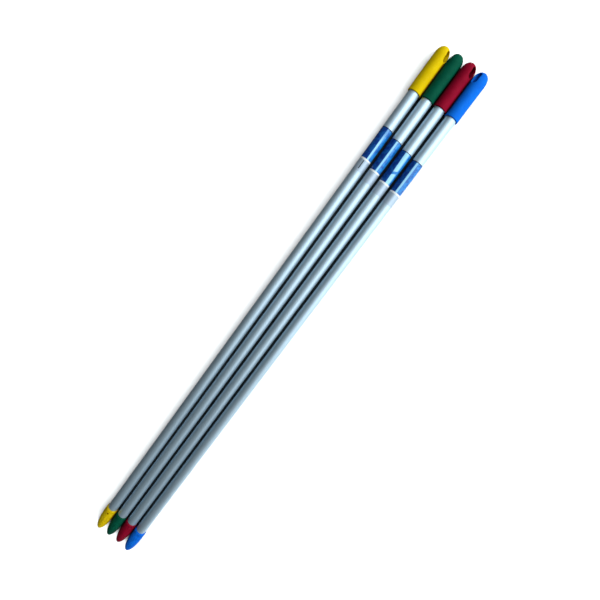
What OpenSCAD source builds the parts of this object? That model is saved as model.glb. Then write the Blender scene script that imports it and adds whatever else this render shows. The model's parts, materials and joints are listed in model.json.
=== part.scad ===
// Set of four colour-coded pole handles, lying side by side.
// Each pole is a drawn tube with a moulded grip pressed over its upper end and
// a moulded plug pressed into its lower end. The plug's bullet nose guides it
// into the socket of a tool head, which seats on the plug's collar and is held
// by a screw. A printed label and a small sticker wrap the tube.
//
// Frame: millimetres, +X towards the grips, +Z up. The origin is on the resting
// plane, under the middle of the set. Every pole is first modelled upright, with
// the end of its plug at z = 0 and the end of its grip at z = pole_len.

/* [Set] */
// Length of one pole over everything
pole_len = 1400; // [1200:10:1500]
// Distance between the axes of neighbouring poles
pitch = 31; // [31:0.5:40]

/* [Tube] */
// Outside diameter of the tube
tube_d = 25; // [24:0.5:25.5]
// Wall thickness of the tube
tube_wall = 1.2; // [1:0.1:1.6]
// Depth of the punched stakes that hold the plug
stake_depth = 0.9; // [0.6:0.1:1]

/* [Grip] */
// Diameter of the grip
grip_d = 30.8; // [29.6:0.1:30.9]
// Length of the grip
grip_len = 105; // [95:1:130]
// Length of the grip's rounded nose
nose_len = 22; // [18:1:26]
// Fullness of the nose's shoulders, where 2 is an ellipse
nose_power = 2.3; // [2:0.1:3]
// Distance from the end of the nose to the hanging slot
slot_inset = 6.5; // [6:0.5:9]
// Length of the hanging slot
slot_len = 23; // [18:1:24]
// Width of the hanging slot
slot_w = 11; // [8:0.5:12]
// Solid web between the slot and the tube's end
grip_web = 5.5; // [4:0.5:8]

/* [Plug] */
// Diameter of the collar, the seat of a tool head's socket
collar_d = 30; // [29:0.1:30.8]
// Length of the collar
collar_len = 22; // [15:1:30]
// Length of the bullet nose
bullet_len = 50; // [35:1:60]
// Length of the cone from the collar down to the tube
cone_len = 3; // [2:0.5:5]
// Diameter of the hole for the tool head's screw
screw_hole_d = 5; // [4:0.5:6]
// Distance from the lower edge of the collar to the screw hole
screw_inset = 14; // [13.5:0.5:17]
// Depth of the spigot inside the tube
spigot_len = 45; // [35:1:60]
// Diameter of the hollow core of the plug
core_d = 17; // [12:0.5:17]

/* [Label] */
// Length of the printed label
label_len = 78; // [60:0.5:90]
// Length of the pale sticker below the label
sticker_len = 26; // [20:1:40]
// Thickness of the label's film
film = 0.12; // [0.08:0.01:0.2]

/* [Hidden] */
$fn = 96;

// One entry per pole, in the order yellow, green, red, blue
COLOURS = ["gold", "darkgreen", "firebrick", "royalblue"];
SHIFTS = [-1.5, 0.5, 1.5, -1];       // how far each pole lies along +X
SLOT_ROLLS = [57, -68, 46, -42];     // hanging slot's axis, turned from +Z to -Y
SCREW_ROLLS = [0, 150, -160, 165];   // screw hole's mouth, turned from +Z to -Y
LABEL_TOPS = [191, 202, 210, 211];   // end of the grip's nose to the label

clear = 0.02;                        // gap between parts that fit together
tube_r = tube_d / 2;
bore_r = tube_r - tube_wall;
mouth_r = tube_r + clear;
grip_r = grip_d / 2;
collar_r = collar_d / 2;
core_r = core_d / 2;
film_r = mouth_r + film;

// Heights along the upright pole
collar_z = bullet_len;
screw_z = collar_z + screw_inset;
cone_z = collar_z + collar_len;
tube_z = cone_z + cone_len;
spigot_z = tube_z + spigot_len;
core_z = 0.7 * bullet_len;
slot_z = pole_len - slot_inset - slot_len;
tube_top_z = slot_z - grip_web;
grip_z = pole_len - grip_len;

edge = 1;                            // rounding of moulded edges
lead = 0.8;                          // lead-in chamfer of bores and spigots
stake_inset = 12;                    // from the end of the tube to a stake
stake_z = tube_z + stake_inset;
stake_punch_r = 3.5;                 // radius of the punch
stake_lip = 0.9;                     // wall left round the punch
stake_axis_r = tube_r + stake_punch_r - stake_depth;
stakes = 2;
groove_half = 3.4;                   // half width of the groove that takes the stakes
groove_r = bore_r - 1.3;
spigot_r = bore_r - 0.3;
ribs = 8;
rib_r = 0.8;                         // radius of one crush rib
rib_gap = 3;                         // from the ribs to the end of the spigot

// Quarter of an ellipse, from [0, z] to [r, z + len], as seen beside the z axis.
// A power above 2 makes its shoulder fuller.
function dome(r, z, len, power = 2, steps = 24) =
    [for (i = [0:steps])
        let (a = 90 * i / steps, e = 2 / power)
            [r * pow(sin(a), e), z + len * (1 - pow(cos(a), e))]];

// Lays an upright pole's piece down in its place in the set, rolled about the
// pole's axis. At a roll of 0, the upright piece's -X side faces up.
module placed(i, roll = 0) {
    translate([SHIFTS[i], (1.5 - i) * pitch, grip_r])
        rotate([roll, 0, 0])
            translate([-pole_len / 2, 0, 0])
                rotate([0, 90, 0])
                    children();
}

// Thin-walled ring between two heights
module sleeve(outer_r, inner_r, z0, z1) {
    translate([0, 0, z0])
        difference() {
            cylinder(r = outer_r, h = z1 - z0);
            translate([0, 0, -1]) cylinder(r = inner_r, h = z1 - z0 + 2);
        }
}

// Spheres of the given radius where the tube is punched, square to the screw hole
module stake_balls(r) {
    for (a = [0:stakes - 1])
        rotate([0, 0, 90 + a * 360 / stakes])
            translate([stake_axis_r, 0, stake_z])
                sphere(r = r);
}

// Drawn tube, punched inwards round the plug's spigot
module tube(i) {
    color("silver")
        placed(i, SCREW_ROLLS[i])
            difference() {
                union() {
                    sleeve(tube_r, bore_r, tube_z + clear, tube_top_z - clear);
                    intersection() {
                        stake_balls(stake_punch_r + stake_lip);
                        translate([0, 0, tube_z])
                            cylinder(r = tube_r - tube_wall / 2, h = 2 * stake_inset);
                    }
                }
                stake_balls(stake_punch_r);
            }
}

// Outline of the grip without its slot: nose, barrel, rim and blind bore
module grip_outline() {
    nose = [for (p = dome(grip_r, 0, nose_len, nose_power)) [p[0], pole_len - p[1]]];
    polygon(concat(nose, [
        [grip_r, grip_z + edge],
        [grip_r - 0.3 * edge, grip_z + 0.3 * edge],
        [grip_r - edge, grip_z],
        [mouth_r + lead, grip_z],
        [mouth_r, grip_z + lead],
        [mouth_r, tube_top_z],
        [0, tube_top_z]
    ]));
}

// Oblong hole through the nose, crossing the pole's axis along X
module hanging_slot() {
    end_r = slot_w / 2;
    low = slot_z + end_r;
    high = slot_z + slot_len - end_r;
    for (z = [low, high])
        translate([-grip_d, 0, z])
            rotate([0, 90, 0])
                cylinder(r = end_r, h = 2 * grip_d);
    translate([-grip_d, -end_r, low])
        cube([2 * grip_d, slot_w, high - low]);
}

// Moulded grip with a hanging slot
module grip(i) {
    color(COLOURS[i])
        placed(i, SLOT_ROLLS[i])
            difference() {
                rotate_extrude() grip_outline();
                hanging_slot();
            }
}

// Outline of the plug: bullet, collar, cone, spigot with its groove, and core
module plug_outline() {
    polygon(concat(dome(collar_r, 0, bullet_len), [
        [collar_r, cone_z],
        [mouth_r, tube_z],
        [spigot_r, tube_z],
        [spigot_r, stake_z - groove_half],
        [groove_r, stake_z - groove_half],
        [groove_r, stake_z + groove_half],
        [spigot_r, stake_z + groove_half],
        [spigot_r, spigot_z - lead],
        [spigot_r - lead, spigot_z],
        [core_r, spigot_z],
        [core_r, core_z],
        [0, core_z]
    ]));
}

// Half-round ribs along the spigot, which bite in the tube's bore
module crush_ribs() {
    rib_z = stake_z + groove_half;
    for (a = [0:ribs - 1])
        rotate([0, 0, a * 360 / ribs])
            translate([bore_r - clear - rib_r, 0, rib_z])
                cylinder(r = rib_r, h = spigot_z - rib_gap - rib_z, $fn = 24);
}

// Moulded plug, with a hole through one wall of its collar
module plug(i) {
    color(COLOURS[i])
        placed(i, SCREW_ROLLS[i])
            difference() {
                union() {
                    rotate_extrude() plug_outline();
                    crush_ribs();
                }
                translate([-collar_d, 0, screw_z])
                    rotate([0, 90, 0])
                        cylinder(d = screw_hole_d, h = collar_d);
            }
}

// Printed film wrapped round the tube
module label(i) {
    top_z = pole_len - LABEL_TOPS[i];
    color("mediumblue")
        placed(i)
            sleeve(film_r, mouth_r, top_z - label_len, top_z);
}

// Pale sticker wrapped round the tube, just below the label
module sticker(i) {
    top_z = pole_len - LABEL_TOPS[i] - label_len - film;
    color("lightsteelblue")
        placed(i)
            sleeve(film_r, mouth_r, top_z - sticker_len, top_z);
}

tube(0);  // tube_yellow
tube(1);  // tube_green
tube(2);  // tube_red
tube(3);  // tube_blue
grip(0);  // grip_yellow
grip(1);  // grip_green
grip(2);  // grip_red
grip(3);  // grip_blue
plug(0);  // plug_yellow
plug(1);  // plug_green
plug(2);  // plug_red
plug(3);  // plug_blue
label(0);  // label_yellow
label(1);  // label_green
label(2);  // label_red
label(3);  // label_blue
sticker(0);  // sticker_yellow
sticker(1);  // sticker_green
sticker(2);  // sticker_red
sticker(3);  // sticker_blue
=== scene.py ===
import json
import math

import bmesh
import bpy
from mathutils import Matrix, Vector, noise


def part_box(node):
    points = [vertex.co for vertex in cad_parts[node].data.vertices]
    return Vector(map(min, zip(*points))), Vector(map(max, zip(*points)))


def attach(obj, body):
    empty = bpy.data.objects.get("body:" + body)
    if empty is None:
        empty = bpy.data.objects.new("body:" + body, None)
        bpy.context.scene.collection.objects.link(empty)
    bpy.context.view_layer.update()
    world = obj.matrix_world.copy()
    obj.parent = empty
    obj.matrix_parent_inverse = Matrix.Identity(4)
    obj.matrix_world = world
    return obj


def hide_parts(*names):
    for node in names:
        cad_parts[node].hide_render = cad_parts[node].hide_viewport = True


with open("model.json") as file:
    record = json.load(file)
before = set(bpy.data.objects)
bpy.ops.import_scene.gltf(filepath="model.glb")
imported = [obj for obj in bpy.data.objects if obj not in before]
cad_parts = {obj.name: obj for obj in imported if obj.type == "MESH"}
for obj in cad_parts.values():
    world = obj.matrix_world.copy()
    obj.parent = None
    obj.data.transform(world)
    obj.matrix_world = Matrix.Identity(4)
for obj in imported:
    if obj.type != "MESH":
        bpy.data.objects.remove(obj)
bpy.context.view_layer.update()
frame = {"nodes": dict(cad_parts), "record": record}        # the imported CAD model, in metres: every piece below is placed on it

MM = 0.001

# Sizes that the frame's boxes and mounts don't give, in millimetres
NOSE_LEN = 22.0          # rounded nose of a grip
NOSE_POWER = 2.3         # fullness of its shoulders, where 2 is an ellipse
SLOT_LEN = 23.0          # hanging slot
SLOT_WIDTH = 11.0
SLOT_ROUNDING = 1.7      # soft edge of the slot's mouths
RIM_ROUNDING = 1.3       # outer edge of the grip's open end
BORE_ROUNDING = 0.25     # inner edge there
LEAD_IN = 0.8            # chamfer at the mouth of a bore or the end of a spigot
SPIGOT_R = 11.0          # part of the plug inside the tube
CORE_R = 8.5             # hollow of the plug
CORE_START = 35.0        # from the tip of the bullet to the hollow
HOLE_ROUNDING = 0.45     # soft edge of the screw hole
COLLAR_ROUNDING = 0.9    # upper edge of the collar
CONE_ROUNDING = 0.15     # upper edge of the cone
CLEAR = 0.02             # gap between parts that fit together
RIPPLE_LEN = 9.0         # spacing of a film's ripples along the pole
LABEL_RIPPLE, STICKER_RIPPLE = 0.05, 0.04
CURL = 0.16              # how far the corners of a film's lap curl up

# Angles round the tube, in degrees
FILM_LAP = 24.0          # a film's end over its start
FILM_CLIMB = 7.0         # where the lap climbs the start's edge
CURL_TURN = 9.0          # curled stretch of the lap

# Fineness of the meshes
COLUMNS = 96             # vertices round an axis
FILM_COLUMNS = 180
LABEL_ROWS, STICKER_ROWS = 60, 22
BARREL_ROWS = 18         # rings along the grip's barrel
COLLAR_ROWS = 4          # rings from the screw hole to the collar's end
SPREAD_RINGS = 7         # rings between a hole's soft edge and the plain grid
FILLET_STEPS = 6
CORNER_STEPS = 5
SLOT_WALL_STEPS = 14
HOLE_WALL_STEPS = 5

# Each plastic's lighter tone, its deeper tone and the tone of its scuffs
PLASTICS = {
    "yellow": ((0.80, 0.57, 0.001), (0.72, 0.49, 0.001), (0.88, 0.72, 0.15)),
    "green": ((0.001, 0.093, 0.051), (0.001, 0.072, 0.039), (0.02, 0.17, 0.10)),
    "red": ((0.300, 0.004, 0.026), (0.240, 0.002, 0.018), (0.40, 0.03, 0.05)),
    "blue": ((0.005, 0.176, 0.810), (0.004, 0.142, 0.720), (0.05, 0.30, 0.95)),
}
# The plugs' setting adds grime and more scuffs, and darkens them evenly as painted shade for the dimmer
# light at the tips
GRIP_WEAR_AND_SHADE, PLUG_WEAR_AND_SHADE = 0.0, 1.0

# Tones of a label's print
NAVY, DEEP_BLUE = (0.001, 0.035, 0.25), (0.002, 0.080, 0.38)
AZURE, PALE_BLUE = (0.010, 0.22, 0.66), (0.35, 0.72, 0.98)

# Each label's navy edge, its drift along the label and its pale stripe's width, in degrees, and
# the kind of its print
# The navy edges lie near the top on every pole, so besides the print the navy is painted shade on the +Y
# side and the azure painted light on the -Y side
LABELS = {
    "yellow": (-7, -2, 20, "soft"),
    "green": (-1, 1, 19, "crisp"),
    "red": (8, -14, 46, "panel"),
    "blue": (9, -1, 20, "crisp"),
}
# Where each label's seam lies, and each sticker's dark line that is painted shadow, in degrees from
# straight up towards +Y
LABEL_SEAMS = {"yellow": 150, "green": 205, "red": 170, "blue": 190}
STICKER_SHADOW_LINES = {"yellow": 4, "green": 150, "red": -160, "blue": 175}
STICKER_SEAM_OFFSET = 30

# The studio's light, by the direction it comes from. A tilt is in degrees from the zenith towards
# +Y and a lean is the direction's X part. Each stop is (tilt or lean, brightness).
KEY_TILTS = ((-110, 0.0), (-92, 0.7), (-66, 0.95), (-54, 1.4), (-33, 1.35), (-10, 0.0))
KEY_LEANS = ((-0.75, 0.06), (-0.5, 0.20), (-0.28, 0.54), (-0.05, 0.90), (0.15, 0.98), (0.35, 1.15))
KEY_SWING = -0.085       # turns that the key light tilts by, for a lean of 1
BACK_TILTS = ((0, 0.0), (12, 1.0), (35, 0.8), (60, 0.0))
BACK_LEANS = ((-0.7, 0.45), (-0.2, 0.2), (0.1, 1.0))
KEY_LIGHT, BACK_LIGHT, AMBIENT_LIGHT = 2.45, 0.26, 0.025
LIGHT_TINT = (0.93, 0.99, 1.0)
WALL_TONE = (0.93, 0.94, 0.95)
WASH_SPREAD = 60         # degrees

FLOOR_SIZE = 24          # metres
CAMERA_PLACE = (0.2538, -0.0599, 0.8756)
CAMERA_TARGET = (0.1058, -0.0203, 0.0154)
CAMERA_UP = (0.7895, 0.6041, -0.1080)
CAMERA_LENS = 23.1       # millimetres, for a sensor 36 mm wide


# ---------------------------------------------------------------- mesh tools

def mount(name):
    return next(m for m in frame["record"]["mounts"] if m["name"] == name)


def add_object(name, data):
    obj = bpy.data.objects.new(name, data)
    bpy.context.scene.collection.objects.link(obj)
    return obj


class Pole:
    """Where one pole lies, in metres, and its tube's radius in millimetres."""

    def __init__(self, name):
        self.name = name
        self.body = "pole_" + name
        low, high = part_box("tube_" + name)
        self.y = (low.y + high.y) / 2
        self.z = (low.z + high.z) / 2
        self.tube_low, self.tube_high = low.x, high.x
        self.tube_r = (high.z - low.z) / 2 / MM


class Skin:
    """Vertices and faces of one piece. Places are (s, across, up) in millimetres from a point on
    the pole's axis, where s runs along the axis and up is any direction square to it."""

    def __init__(self, origin, along, up):
        self.origin = Vector(origin)
        self.along = Vector(along)
        self.up = Vector(up).normalized()
        self.across = self.along.cross(self.up)
        self.points = []
        self.faces = []

    def point(self, s, across, up):
        offset = self.along * s + self.across * across + self.up * up
        self.points.append(self.origin + offset * MM)
        return len(self.points) - 1

    def between(self, a, b, t):
        self.points.append(self.points[a].lerp(self.points[b], t))
        return len(self.points) - 1

    def face(self, first, second, m):
        """Face m between two closed rings. A ring of one vertex makes a fan."""
        n = m + 1
        corners = [first[m % len(first)], first[n % len(first)],
                   second[n % len(second)], second[m % len(second)]]
        self.faces.append(list(dict.fromkeys(corners)))

    def strip(self, first, second):
        for m in range(max(len(first), len(second))):
            self.face(first, second, m)

    def piece(self, name, pole, node, material):
        """The finished piece, which rides on the pole's body and replaces a CAD node."""
        mesh = bpy.data.meshes.new(name)
        mesh.from_pydata(self.points, [], self.faces)
        bm = bmesh.new()
        bm.from_mesh(mesh)
        bmesh.ops.recalc_face_normals(bm, faces=bm.faces)
        bm.to_mesh(mesh)
        bm.free()
        mesh.polygons.foreach_set("use_smooth", [True] * len(mesh.polygons))
        mesh.materials.append(material)
        obj = add_object(name, mesh)
        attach(obj, pole.body)
        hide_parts(node)
        return obj


def lathe(skin, rows, covered):
    """Grid of vertices round the axis, one ring for each (s, r) of rows. Cells in covered stay open."""
    turns = [2 * math.pi * j / COLUMNS for j in range(COLUMNS)]
    grid = []
    for s, r in rows:
        if r == 0:
            grid.append([skin.point(s, 0, 0)])
        else:
            grid.append([skin.point(s, r * math.sin(a), r * math.cos(a)) for a in turns])
    for i, (first, second) in enumerate(zip(grid, grid[1:])):
        for j in range(COLUMNS):
            if (i, j) not in covered:
                skin.face(first, second, j)
    return grid


def block_cells(first, last, column, half):
    """The cells of the grid that a hole's mouth takes up."""
    rows = range(min(first, last), max(first, last))
    return {(i, j % COLUMNS) for i in rows for j in range(column - half, column + half)}


def block_rim(first, last, column, half, turn):
    """Grid places (row, column) round a block, from the middle of its first row, turning to +across."""
    step = 1 if last > first else -1
    places = [(first, column + turn * k) for k in range(half)]
    places += [(i, column + turn * half) for i in range(first, last, step)]
    places += [(last, column + turn * k) for k in range(half, -half, -1)]
    places += [(i, column - turn * half) for i in range(last, first, -step)]
    places += [(first, column - turn * k) for k in range(half, 0, -1)]
    return places


def oblong(part, middle, length, width):
    """Place (s, across) on an oblong's outline and the outward direction there. part runs from 0 to
    1 round the outline, from the middle of its low end, turning to +across."""
    r = width / 2
    straight = length - width
    quarter = math.pi * r / 2
    d = part * (4 * quarter + 2 * straight)
    low, high = middle - straight / 2, middle + straight / 2
    if d < quarter:
        a = d / r
        return (low - r * math.cos(a), r * math.sin(a)), (-math.cos(a), math.sin(a))
    d -= quarter
    if d < straight:
        return (low + d, r), (0, 1)
    d -= straight
    if d < 2 * quarter:
        a = d / r
        return (high + r * math.sin(a), r * math.cos(a)), (math.sin(a), math.cos(a))
    d -= 2 * quarter
    if d < straight:
        return (high - d, -r), (0, -1)
    a = (d - straight) / r
    return (low - r * math.sin(a), -r * math.cos(a)), (-math.sin(a), -math.cos(a))


def curve(start, corner, end, steps):
    """Points of a smooth curve from start to end that bends towards corner, without start."""
    parts = [k / steps for k in range(1, steps + 1)]
    return [start * (1 - t) ** 2 + corner * 2 * t * (1 - t) + end * t * t for t in parts]


def mouth(skin, grid, rows, radius, first, last, half, side, outline, rounding):
    """Draws the grid in to a hole's outline, with a rounded edge, and returns the ring where the
    hole's wall begins. side is 1 where the hole opens upwards and -1 where it opens downwards."""
    column = 0 if side > 0 else COLUMNS // 2
    places = block_rim(first, last, column, half, side)
    crowding = 0.6       # how much closer the rings lie near the hole
    spread = []
    for m, (i, j) in enumerate(places):
        (s, across), (out_s, out_across) = outline(m / len(places))
        edge_s = s + out_s * rounding
        edge_turn = math.asin((across + out_across * rounding) / radius(edge_s))
        start_s = rows[i][0]
        start_turn = side * (j - column) * 2 * math.pi / COLUMNS
        path = []
        for k in range(1, SPREAD_RINGS + 1):
            t = k / SPREAD_RINGS
            t *= 1 + crowding * (1 - t)
            here = start_s + (edge_s - start_s) * t
            turn = start_turn + (edge_turn - start_turn) * t
            r = radius(here)
            path.append(Vector((here, r * math.sin(turn), side * r * math.cos(turn))))
        if rounding:
            height = math.sqrt(radius(s) ** 2 - across ** 2)
            corner = Vector((s, across, side * height))
            end = Vector((s, across, side * (height - rounding)))
            path += curve(path[-1], corner, end, FILLET_STEPS)
        spread.append([skin.point(*p) for p in path])
    rings = [[grid[i][j % COLUMNS] for i, j in places]] + [list(ring) for ring in zip(*spread)]
    for a, b in zip(rings, rings[1:]):
        skin.strip(a, b)
    return rings[-1]


def tunnel(skin, first, second, steps):
    """Wall of a hole between the rings of its two mouths."""
    rings = [first]
    for k in range(1, steps):
        rings.append([skin.between(a, b, k / steps) for a, b in zip(first, second)])
    rings.append(second)
    for a, b in zip(rings, rings[1:]):
        skin.strip(a, b)


def rounded(corners):
    """Rows of an outline given as (s, r, rounding). A corner with a rounding becomes a curve."""
    rows = []
    for k, (s, r, rounding) in enumerate(corners):
        if not rounding:
            rows.append((s, r))
            continue
        here = Vector((s, r))
        start = here + (Vector(corners[k - 1][:2]) - here).normalized() * rounding
        end = here + (Vector(corners[k + 1][:2]) - here).normalized() * rounding
        rows += [tuple(p) for p in [start] + curve(start, here, end, CORNER_STEPS)]
    return rows


def spaced(start, end, count):
    return [start + (end - start) * k / count for k in range(count + 1)]


# ---------------------------------------------------------------- pieces

def build_grip(pole, material):
    """Moulded grip: rounded nose with a hanging slot straight through it, barrel, rim and bore."""
    node = "grip_" + pole.name
    low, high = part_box(node)
    slot = mount("hanging_slot_" + pole.name)
    skin = Skin((high.x, pole.y, pole.z), (-1, 0, 0), slot["axis"])
    length = (high.x - low.x) / MM
    full_r = pole.z / MM
    bore_r = pole.tube_r + CLEAR
    bore_end = (high.x - pole.tube_high) / MM
    slot_middle = (high.x - slot["pos_m"][0]) / MM

    def radius(s):
        left = max(1 - s / NOSE_LEN, 0)
        return full_r * (1 - left ** NOSE_POWER) ** (1 / NOSE_POWER)

    def outline(part):
        return oblong(part, slot_middle, SLOT_LEN, SLOT_WIDTH)

    # close rings at the tip, then the block of the grid that a mouth of the slot is drawn in
    tip_rows = [NOSE_LEN * (1 - math.cos(math.radians(a))) for a in range(4, 21, 4)]
    block_low, block_high, block_rows, half = 2.5, 33.5, 24, 12
    rows = [(0, 0)] + [(s, radius(s)) for s in tip_rows]
    first = len(rows)
    last = first + block_rows
    rows += [(s, radius(s)) for s in spaced(block_low, block_high, block_rows)]
    rows += [(s, full_r) for s in spaced(block_high, length - 3, BARREL_ROWS)[1:]]
    rows += rounded([(length - 2, full_r, 0), (length, full_r, RIM_ROUNDING),
                     (length, bore_r + LEAD_IN, BORE_ROUNDING), (length - LEAD_IN, bore_r, 0),
                     (bore_end, bore_r, 0), (bore_end, 0, 0)])
    covered = block_cells(first, last, 0, half) | block_cells(first, last, COLUMNS // 2, half)
    grid = lathe(skin, rows, covered)
    mouths = [mouth(skin, grid, rows, radius, first, last, half, side, outline, SLOT_ROUNDING)
              for side in (1, -1)]
    tunnel(skin, *mouths, SLOT_WALL_STEPS)
    return skin.piece("moulded_" + node, pole, node, material)


def build_plug(pole, material):
    """Moulded plug: bullet, collar with a screw hole, cone, spigot and hollow core."""
    node = "plug_" + pole.name
    low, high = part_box(node)
    seat = mount("socket_seat_" + pole.name)
    hole = mount("screw_hole_" + pole.name)
    skin = Skin((low.x, pole.y, pole.z), (1, 0, 0), hole["axis"])
    collar_r = seat["dims"]["r_mm"]
    seat_len = seat["dims"]["length_mm"]
    bullet = (seat["pos_m"][0] - low.x) / MM - seat_len / 2
    collar_end = bullet + seat_len
    tube_start = (pole.tube_low - low.x) / MM - CLEAR
    end = (high.x - low.x) / MM
    hole_middle = (hole["pos_m"][0] - low.x) / MM
    hole_d = 2 * hole["dims"]["r_mm"]

    def radius(s):
        return collar_r * math.sqrt(1 - (1 - s / bullet) ** 2) if s < bullet else collar_r

    def outline(part):
        return oblong(part, hole_middle, hole_d, hole_d)

    # the block of the grid that a mouth of the hole is drawn in
    block_half, block_rows, half = 6.5, 12, 7
    block = spaced(hole_middle - block_half, hole_middle + block_half, block_rows)
    turns = [math.radians(a) for a in range(3, 91, 3)]
    rows = [(0, 0)] + [(bullet * (1 - math.cos(a)), collar_r * math.sin(a)) for a in turns]
    outer_first = len(rows)
    outer_last = outer_first + block_rows
    rows += [(s, collar_r) for s in block]
    rows += [(s, collar_r) for s in spaced(block[-1], collar_end - 2, COLLAR_ROWS)[1:]]
    rows += rounded([(collar_end - 1.5, collar_r, 0), (collar_end, collar_r, COLLAR_ROUNDING),
                     (tube_start, pole.tube_r + CLEAR, CONE_ROUNDING), (tube_start, SPIGOT_R, 0),
                     (end - LEAD_IN, SPIGOT_R, 0), (end, SPIGOT_R - LEAD_IN, 0), (end, CORE_R, 0)])
    core_last = len(rows)
    core_first = core_last + block_rows
    rows += [(s, CORE_R) for s in reversed(block)]
    rows += [(CORE_START, CORE_R), (CORE_START, 0)]
    covered = block_cells(outer_first, outer_last, 0, half)
    covered |= block_cells(core_first, core_last, 0, half)
    grid = lathe(skin, rows, covered)
    outside = mouth(skin, grid, rows, radius, outer_first, outer_last, half, 1, outline, HOLE_ROUNDING)
    inside = mouth(skin, grid, rows, lambda s: CORE_R, core_first, core_last, half, 1, outline, 0)
    tunnel(skin, outside, inside, HOLE_WALL_STEPS)
    return skin.piece("moulded_" + node, pole, node, material)


def build_film(pole, kind, material, seam, rows, lift, seed):
    """Thin film wrapped round the tube from the seam's angle, with its end lapped over its start
    and ripples up to about lift high. Its UV map is (part of the length, turn from straight up
    in the direction of +Y)."""
    node = kind + "_" + pole.name
    low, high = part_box(node)
    length = (high.x - low.x) / MM
    inner_r = pole.tube_r + CLEAR
    film = (high.z - pole.z) / MM - inner_r
    around = 1.6         # size of the ripples round the tube, as the radius of a circle of noise
    curl_part = 0.14     # curled part of the lap at each end, of half the length
    skin = Skin((high.x, pole.y, pole.z), (-1, 0, 0), (0, 0, 1))
    offset = Vector((seed * 7.3, 0, 0))  # so that no two films ripple alike
    prints = {}

    def radius(part, turn, angle):
        over = min(max((turn - 360 + FILM_CLIMB) / FILM_CLIMB, 0), 1)
        r = inner_r + (film + CLEAR) * over * over * (3 - 2 * over)
        spot = Vector((part * length / RIPPLE_LEN, around * math.sin(angle), around * math.cos(angle)))
        r += lift * max(noise.noise(spot + offset), 0) ** 1.5
        near_end = max(turn - 360 - FILM_LAP + CURL_TURN, 0) / CURL_TURN
        near_side = max(abs(part - 0.5) * 2 - 1 + curl_part, 0) / curl_part
        return r + CURL * near_end ** 2 * near_side

    def place(i, j, thickness):
        part = i / rows
        turn = (360 + FILM_LAP) * j / FILM_COLUMNS
        angle = math.radians(seam + turn)
        r = radius(part, turn, angle) + thickness
        # across points to +Y, since s runs along -X
        index = skin.point(part * length, r * math.sin(angle), r * math.cos(angle))
        prints[index] = (part, (seam + turn) / 360)
        return index

    def sheet(thickness):
        return [[place(i, j, thickness) for j in range(FILM_COLUMNS + 1)] for i in range(rows + 1)]

    outer, inner = sheet(film), sheet(0)
    for i in range(rows):
        for j in range(FILM_COLUMNS):
            skin.faces.append([outer[i][j], outer[i][j + 1], outer[i + 1][j + 1], outer[i + 1][j]])
            skin.faces.append([inner[i][j], inner[i + 1][j], inner[i + 1][j + 1], inner[i][j + 1]])
    rim = [(0, j) for j in range(FILM_COLUMNS)] + [(i, FILM_COLUMNS) for i in range(rows)]
    rim += [(rows, j) for j in range(FILM_COLUMNS, 0, -1)] + [(i, 0) for i in range(rows, 0, -1)]
    for (i, j), (m, n) in zip(rim, rim[1:] + rim[:1]):
        skin.faces.append([outer[i][j], inner[i][j], inner[m][n], outer[m][n]])
    obj = skin.piece("printed_" + node, pole, node, material)
    uv = obj.data.uv_layers.new(name="print")
    for loop in obj.data.loops:
        uv.data[loop.index].uv = prints[loop.vertex_index]
    edges = obj.modifiers.new("crisp edges", "WEIGHTED_NORMAL")
    edges.keep_sharp = True
    return obj


# ---------------------------------------------------------------- materials

class Graph:
    """Short calls that build the nodes of one material or world."""

    def __init__(self, owner):
        owner.use_nodes = True
        self.owner = owner
        self.tree = owner.node_tree
        self.tree.nodes.clear()
        coordinates = self.node("TexCoord").outputs
        self.place = coordinates["Object"]
        self.direction = coordinates["Generated"]

    def put(self, socket, value):
        if isinstance(value, bpy.types.NodeSocket):
            self.tree.links.new(value, socket)
        else:
            socket.default_value = value

    def node(self, kind, inputs=None, **settings):
        made = self.tree.nodes.new("ShaderNode" + kind)
        for key, value in settings.items():
            setattr(made, key, value)
        for key, value in (inputs or {}).items():
            self.put(made.inputs[key], value)
        return made

    def math(self, operation, a, b=0.0, c=0.0):
        return self.node("Math", {0: a, 1: b, 2: c}, operation=operation).outputs[0]

    def plus(self, a, b):
        return self.math("ADD", a, b)

    def times(self, a, b):
        return self.math("MULTIPLY", a, b)

    def times_plus(self, a, b, c):
        return self.math("MULTIPLY_ADD", a, b, c)

    def above(self, a, b):
        return self.math("GREATER_THAN", a, b)

    def below(self, a, b):
        return self.math("LESS_THAN", a, b)

    def scaled(self, x, y, z, turn=(0, 0, 0)):
        made = self.node("Mapping", {"Vector": self.place, "Scale": (x, y, z), "Rotation": turn})
        return made.outputs[0]

    def noise(self, vector, detail, rough=0.5):
        inputs = {"Vector": vector, "Scale": 1.0, "Detail": detail, "Roughness": rough}
        return self.node("TexNoise", inputs).outputs[0]

    def ramp(self, value, *stops):
        """Colour ramp. A stop is (position, grey or colour)."""
        made = self.node("ValToRGB", {0: value})
        elements = made.color_ramp.elements
        while len(elements) < len(stops):
            elements.new(0.5)
        for element, (position, colour) in zip(elements, stops):
            element.position = position
            grey = isinstance(colour, (int, float))
            element.color = (colour, colour, colour, 1) if grey else (*colour, 1)
        return made.outputs[0]

    def mix(self, factor, a, b, blend="MIX"):
        made = self.node("Mix", {0: factor}, data_type="RGBA", blend_type=blend)
        for socket, value in ((made.inputs[6], a), (made.inputs[7], b)):
            self.put(socket, value if isinstance(value, bpy.types.NodeSocket) else (*value, 1))
        return made.outputs[2]

    def bump(self, height, distance_mm, strength):
        inputs = {"Height": height, "Distance": distance_mm * MM, "Strength": strength}
        return self.node("Bump", inputs).outputs[0]

    def openness(self, distance, samples):
        """How open a surface is within a distance, from 0 in a hollow to 1."""
        return self.node("AmbientOcclusion", {"Distance": distance}, samples=samples).outputs["AO"]

    def principled(self, **inputs):
        named = {key.replace("_", " "): value for key, value in inputs.items()}
        made = self.node("BsdfPrincipled", named)
        self.put(self.node("OutputMaterial").inputs["Surface"], made.outputs[0])
        return self.owner


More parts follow.
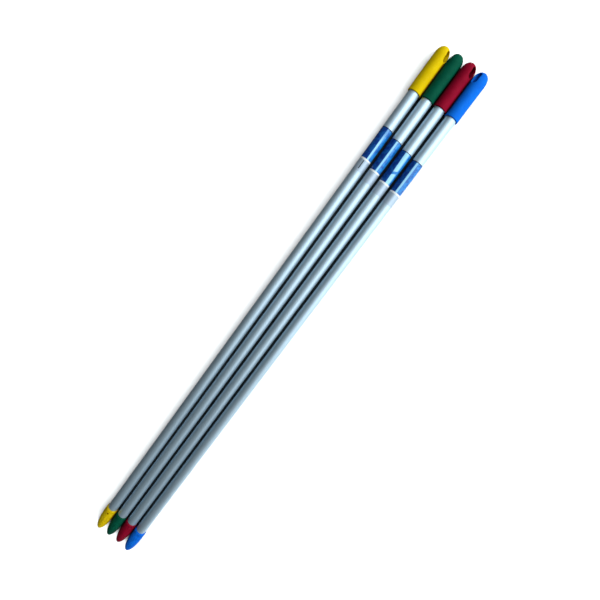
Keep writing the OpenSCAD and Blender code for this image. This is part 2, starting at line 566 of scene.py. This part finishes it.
def anodised_aluminium():
    """Drawn tube: fine lines along it, faint smudges and a few long scratches."""
    g = Graph(bpy.data.materials.new("anodised_aluminium"))
    dull, clean = (0.475, 0.61, 0.72), (0.535, 0.69, 0.81)
    line_tone, scratch_tone = (0.59, 0.74, 0.85), (0.62, 0.76, 0.85)
    skewed = (0, 0, math.radians(3))
    broad = g.noise(g.scaled(3, 420, 420), detail=3, rough=0.6)
    fine = g.noise(g.scaled(9, 2300, 2300), detail=2)
    smudge = g.noise(g.scaled(14, 60, 60), detail=4, rough=0.62)
    scratch = g.noise(g.scaled(16, 900, 900, skewed), detail=1)
    scratch = g.ramp(scratch, (0.70, 0.0), (0.74, 1.0))
    tone = g.mix(smudge, dull, clean)
    tone = g.mix(g.ramp(broad, (0.35, 0.0), (0.65, 0.25)), tone, line_tone)
    tone = g.mix(g.times(scratch, 0.3), tone, scratch_tone)
    rough = g.plus(g.plus(g.times(broad, 0.08), g.times(smudge, 0.08)), 0.38)
    lines = g.plus(g.times(broad, 0.6), g.times(fine, 0.4))
    # the drawing lines stretch the highlights round the tube
    along_pole = g.node("CombineXYZ", {"X": 1.0}).outputs[0]
    return g.principled(Base_Color=tone, Metallic=0.78, Roughness=rough, Normal=g.bump(lines, 0.004, 0.5),
                        Anisotropic=0.7, Anisotropic_Rotation=0.25, Tangent=along_pole)


def moulded_plastic(name, colour, deep, worn, wear_and_shade):
    """Injection-moulded polypropylene: soft sheen, a faintly pitted skin, flow marks and scuffs,
    with painted shade in the slot, the hole and the narrow gaps. Above 0, the last argument adds
    grime and more scuffs, and darkens the whole piece evenly, painted shade for the dimmer light
    at the tips."""
    g = Graph(bpy.data.materials.new(name))
    soiled_and_shaded = [part * (1 - 0.55 * wear_and_shade) for part in deep]
    hollow = (deep[0] * 0.30, deep[1] * 0.15, deep[2] * 0.18)
    cloud = g.noise(g.scaled(55, 55, 55), detail=3, rough=0.55)
    flow = g.noise(g.scaled(30, 260, 260), detail=2)
    pits = g.noise(g.scaled(1500, 1500, 1500), detail=2, rough=0.6)
    scuff = g.noise(g.scaled(420, 900, 140, (0.3, 0.5, 0.2)), detail=2)
    scuff = g.ramp(scuff, (0.66 - 0.05 * wear_and_shade, 0.0), (0.72 - 0.03 * wear_and_shade, 1.0))
    grime = g.noise(g.scaled(140, 240, 240), detail=5, rough=0.7)
    grime = g.ramp(grime, (0.42, 0.0), (0.62, 1.0))
    tone = g.mix(g.ramp(cloud, (0.3, 0.0), (0.7, 1.0)), deep, colour)
    # grime in patches, plus an even darkening that is painted shade for the dimmer light at the tips
    tone = g.mix(g.times_plus(grime, 0.5 * wear_and_shade, 0.3 * wear_and_shade), tone, soiled_and_shaded)
    tone = g.mix(g.times(scuff, 0.35), tone, worn)
    # painted shade: the slot, the hole and the narrow gaps are darkened where little light reaches
    tone = g.mix(g.ramp(g.openness(0.012, 16), (0.30, 0.0), (0.72, 1.0)), hollow, tone)
    rough = g.plus(g.plus(g.times(flow, 0.16), 0.46), g.times(scuff, 0.2))
    height = g.plus(g.times(pits, 0.5), g.times(flow, 0.5))
    return g.principled(Base_Color=tone, Roughness=rough, Normal=g.bump(height, 0.05, 0.6), IOR=1.49,
                        Specular_IOR_Level=0.03, Subsurface_Weight=0.06,
                        Subsurface_Radius=(0.6, 0.4, 0.3), Subsurface_Scale=0.002)


def film_place(g):
    """Place on a film: part of its length from its upper end, and turn from straight up to +Y."""
    parts = g.node("SeparateXYZ", {0: g.node("UVMap", uv_map="print").outputs[0]}).outputs
    return parts[0], parts[1]


def soft_start(g, tone, along, around):
    """The pale stripe fades in over the label's upper part."""
    fade = g.ramp(along, (0.14, 0.7), (0.40, 0.0))
    return g.mix(g.times(fade, g.below(around, 0.30)), tone, (0.012, 0.20, 0.62))


def slanting_bar(g, tone, along, around, width):
    """An azure bar cuts the pale stripe, which is a wide panel here."""
    slant = g.plus(along, g.times(around, 0.55))
    bar = g.ramp(slant, (0.60, 0.0), (0.61, 1.0), (0.68, 1.0), (0.69, 0.0))
    return g.mix(g.times(bar, g.below(around, width)), tone, AZURE)


def light_sweeps(g, tone, along, around, width):
    """Lighter slanting sweeps cross the azure band."""
    sweep = g.times(g.plus(along, g.times(around, 3.2)), 0.9)
    sweep = g.ramp(g.math("FRACT", sweep), (0.0, 0.0), (0.5, 1.0), (0.52, 0.0))
    inside = g.times(g.above(around, width * 1.1), g.below(around, 0.3))
    return g.mix(g.times(g.times(sweep, inside), 0.45), tone, (0.08, 0.38, 0.80))


def print_and_painted_light_film(name, edge_turn, skew, stripe, kind):
    """Glossy label with plain printed bands: navy, a pale stripe and azure, with a white end band.
    The bands lie the same way on every pole, so they are also painted light and shade: the azure on
    the lit -Y side, the navy on the shaded +Y side, and the pale stripe near the top partly a painted
    highlight. edge_turn is where the navy meets the stripe, skew how far that edge drifts over the
    length and stripe the stripe's width, in degrees. kind is "crisp", "soft" or "panel"."""
    g = Graph(bpy.data.materials.new(name))
    along, turn = film_place(g)
    # part of a turn from the navy's edge across the stripe, wrapped to 0..1
    edge_place = g.times_plus(along, skew / 360, edge_turn / 360 + 2)
    around = g.math("FRACT", g.math("SUBTRACT", edge_place, turn))
    width = stripe / 360
    # print with painted light and shade: the pale stripe and the azure face the lit -Y side, the navy the
    # shaded +Y side
    tone = g.ramp(around, (0.0, PALE_BLUE), (width * 0.75, PALE_BLUE), (width * 1.15, AZURE),
                  (0.24, AZURE), (0.34, DEEP_BLUE), (0.40, NAVY), (0.985, NAVY), (1.0, NAVY))
    if kind == "soft":
        tone = soft_start(g, tone, along, around)
    if kind == "panel":
        tone = slanting_bar(g, tone, along, around, width)
    else:
        tone = light_sweeps(g, tone, along, around, width)
    mottle = g.noise(g.scaled(130, 130, 130), detail=4, rough=0.65)
    patches = g.ramp(mottle, (0.46, 0.0), (0.57, 1.0))
    on_navy = g.above(around, 0.5)
    on_azure = g.times(g.below(around, 0.5), g.above(around, width * 1.15))
    tone = g.mix(g.times(g.times(patches, on_navy), 0.6), tone, (0.003, 0.12, 0.45))
    tone = g.mix(g.times(g.times(patches, on_azure), 0.75), tone, (0.003, 0.07, 0.38))
    # a dark line at the upper end and a white band at the lower
    tone = g.mix(g.below(along, 0.022), tone, (0.001, 0.006, 0.05))
    tone = g.mix(g.ramp(along, (0.950, 0.0), (0.953, 1.0)), tone, (0.86, 0.90, 0.93))
    ripple = g.noise(g.scaled(60, 160, 160), detail=2)
    return g.principled(Base_Color=tone, Roughness=g.times_plus(mottle, 0.12, 0.16),
                        Normal=g.bump(ripple, 0.12, 0.35), IOR=1.45, Specular_IOR_Level=0.3,
                        Coat_Weight=0.25, Coat_Roughness=0.08)


def pale_film(name, shadow_line_turn):
    """Pale sticker with one thin dark line along the pole, which is painted shadow. The line's place is
    given in degrees.
    """
    g = Graph(bpy.data.materials.new(name))
    along, turn = film_place(g)
    half_shadow_line = 0.013    # part of a turn
    mottle = g.noise(g.scaled(90, 90, 90), detail=4, rough=0.6)
    tone = g.mix(mottle, (0.39, 0.49, 0.61), (0.49, 0.60, 0.72))
    around = g.math("FRACT", g.plus(turn, 1.5 - shadow_line_turn / 360))
    # painted shadow: a short thin dark line along the pole, with less metallic sheen on it
    line = g.below(g.math("ABSOLUTE", g.math("SUBTRACT", around, 0.5)), half_shadow_line)
    short = g.times(g.above(along, 0.06), g.below(along, 0.80))
    tone = g.mix(g.times(line, short), tone, (0.004, 0.008, 0.02))
    ripple = g.noise(g.scaled(70, 200, 200), detail=2)
    return g.principled(Base_Color=tone, Metallic=g.times_plus(line, -0.4, 0.4),
                        Roughness=g.plus(g.times(mottle, 0.2), 0.42), Normal=g.bump(ripple, 0.1, 0.3))


def pale_floor():
    g = Graph(bpy.data.materials.new("pale_floor"))
    gap_shade_tone, dimmed_bounce_tone = (0.005, 0.012, 0.018), (0.35, 0.35, 0.35)
    cloud = g.noise(g.scaled(2.2, 2.2, 2.2), detail=3)
    tone = g.mix(cloud, (0.71, 0.72, 0.73), (0.76, 0.77, 0.775))
    # painted shade: the floor is darkened in the narrow gaps between the poles, where little light finds
    # its way
    tone = g.mix(g.ramp(g.openness(0.05, 32), (0.24, 0.0), (0.50, 1.0)), gap_shade_tone, tone)
    # painted shade: rays other than the camera's see the floor darker on the +Y side, where the poles'
    #     # shadow falls, as if a dark sheet lay there, so the poles mirror it darker, and the soft light
    #     that
    #     # it throws back on them is dimmed evenly
    mirrored_shade = g.ramp(g.node("SeparateXYZ", {0: g.place}).outputs[1], (0.0, 0.85), (0.05, 0.08))
    rays = g.node("LightPath").outputs
    mirrored_shade = g.mix(rays["Is Diffuse Ray"], mirrored_shade, dimmed_bounce_tone)
    tone = g.mix(rays["Is Camera Ray"], g.mix(1.0, tone, mirrored_shade, "MULTIPLY"), tone)
    return g.principled(Base_Color=tone, Roughness=0.75, Specular_IOR_Level=0.2)


# ---------------------------------------------------------------- stage, light and camera

def build_floor():
    mesh = bpy.data.meshes.new("floor")
    s = FLOOR_SIZE / 2
    mesh.from_pydata([(-s, -s, 0), (s, -s, 0), (s, s, 0), (-s, s, 0)], [], [(0, 1, 2, 3)])
    mesh.materials.append(pale_floor())
    obj = add_object("floor", mesh)
    return obj


def aim(obj, place, target, up=(0, 0, 1)):
    forward = (Vector(target) - Vector(place)).normalized()
    right = forward.cross(Vector(up)).normalized()
    turned = Matrix((right, right.cross(forward), -forward)).transposed().to_4x4()
    obj.matrix_world = Matrix.Translation(place) @ turned


def studio_light():
    """Soft light by direction: a broad bright side from below the -Y horizon nearly up to the
    zenith, which fades towards the tips, and a weak one on the +Y side."""
    world = bpy.data.worlds.new("studio")
    g = Graph(world)
    parts = g.node("SeparateXYZ", {0: g.direction}).outputs
    along, across, up = parts[0], parts[1], parts[2]
    # both run over a ramp's 0..1, with the zenith and a lean of 0 in its middle
    tilt = g.plus(g.times(g.math("ARCTAN2", across, up), 0.5 / math.pi), 0.5)
    lean = g.plus(g.times(along, 0.5), 0.5)

    def by_tilt(place, stops):
        return g.ramp(place, *[(0.5 + degrees / 360, grey) for degrees, grey in stops])

    def by_lean(stops):
        return g.ramp(lean, *[(0.5 + part / 2, grey) for part, grey in stops])

    # the key light reaches less far up where it is seen leaning towards the tips
    swung = g.times_plus(along, KEY_SWING, tilt)
    key = g.times(g.times(by_tilt(swung, KEY_TILTS), by_lean(KEY_LEANS)), KEY_LIGHT)
    back = g.times(g.times(by_tilt(tilt, BACK_TILTS), by_lean(BACK_LEANS)), BACK_LIGHT)
    total = g.plus(g.plus(key, back), AMBIENT_LIGHT)
    # the camera itself sees an even pale wall
    seen = g.node("LightPath").outputs["Is Camera Ray"]
    tone = g.mix(seen, LIGHT_TINT, WALL_TONE)
    total = g.times_plus(g.math("SUBTRACT", 1.0, total), seen, total)
    background = g.node("Background", {"Color": tone, "Strength": total})
    g.node("OutputWorld", {"Surface": background.outputs[0]})
    bpy.context.scene.world = world


def floor_wash(name, direction, strength, floor):
    """Distant soft light that reaches only the floor."""
    light = bpy.data.lights.new(name, "SUN")
    light.energy = strength
    light.angle = math.radians(WASH_SPREAD)
    obj = add_object(name, light)
    aim(obj, direction, (0, 0, 0))
    only = bpy.data.collections.new(name + "_receivers")
    only.objects.link(floor)
    obj.light_linking.receiver_collection = only


def build_camera():
    lens = bpy.data.cameras.new("camera")
    lens.sensor_width = 36
    lens.lens = CAMERA_LENS
    camera = add_object("camera", lens)
    aim(camera, CAMERA_PLACE, CAMERA_TARGET, CAMERA_UP)
    bpy.context.scene.camera = camera


# ---------------------------------------------------------------- the set

tube_metal = anodised_aluminium()
for seed, name in enumerate(PLASTICS):
    pole = Pole(name)
    build_grip(pole, moulded_plastic(name + "_grip_plastic", *PLASTICS[name], GRIP_WEAR_AND_SHADE))
    build_plug(pole, moulded_plastic(name + "_plug_plastic", *PLASTICS[name], PLUG_WEAR_AND_SHADE))
    label = print_and_painted_light_film(name + "_printed_film", *LABELS[name])
    build_film(pole, "label", label, LABEL_SEAMS[name], LABEL_ROWS, LABEL_RIPPLE, seed)
    sticker = pale_film(name + "_pale_film", STICKER_SHADOW_LINES[name])
    sticker_seam = LABEL_SEAMS[name] + STICKER_SEAM_OFFSET
    build_film(pole, "sticker", sticker, sticker_seam, STICKER_ROWS, STICKER_RIPPLE, seed + 10)
    frame["nodes"]["tube_" + name].material_slots[0].material = tube_metal

floor = build_floor()
studio_light()
floor_wash("wash_front", (0.1, -0.5, 0.85), 2.4, floor)
floor_wash("wash_back", (0.1, 0.8, 0.75), 1.6, floor)
build_camera()
bpy.context.scene.view_settings.view_transform = "Standard"
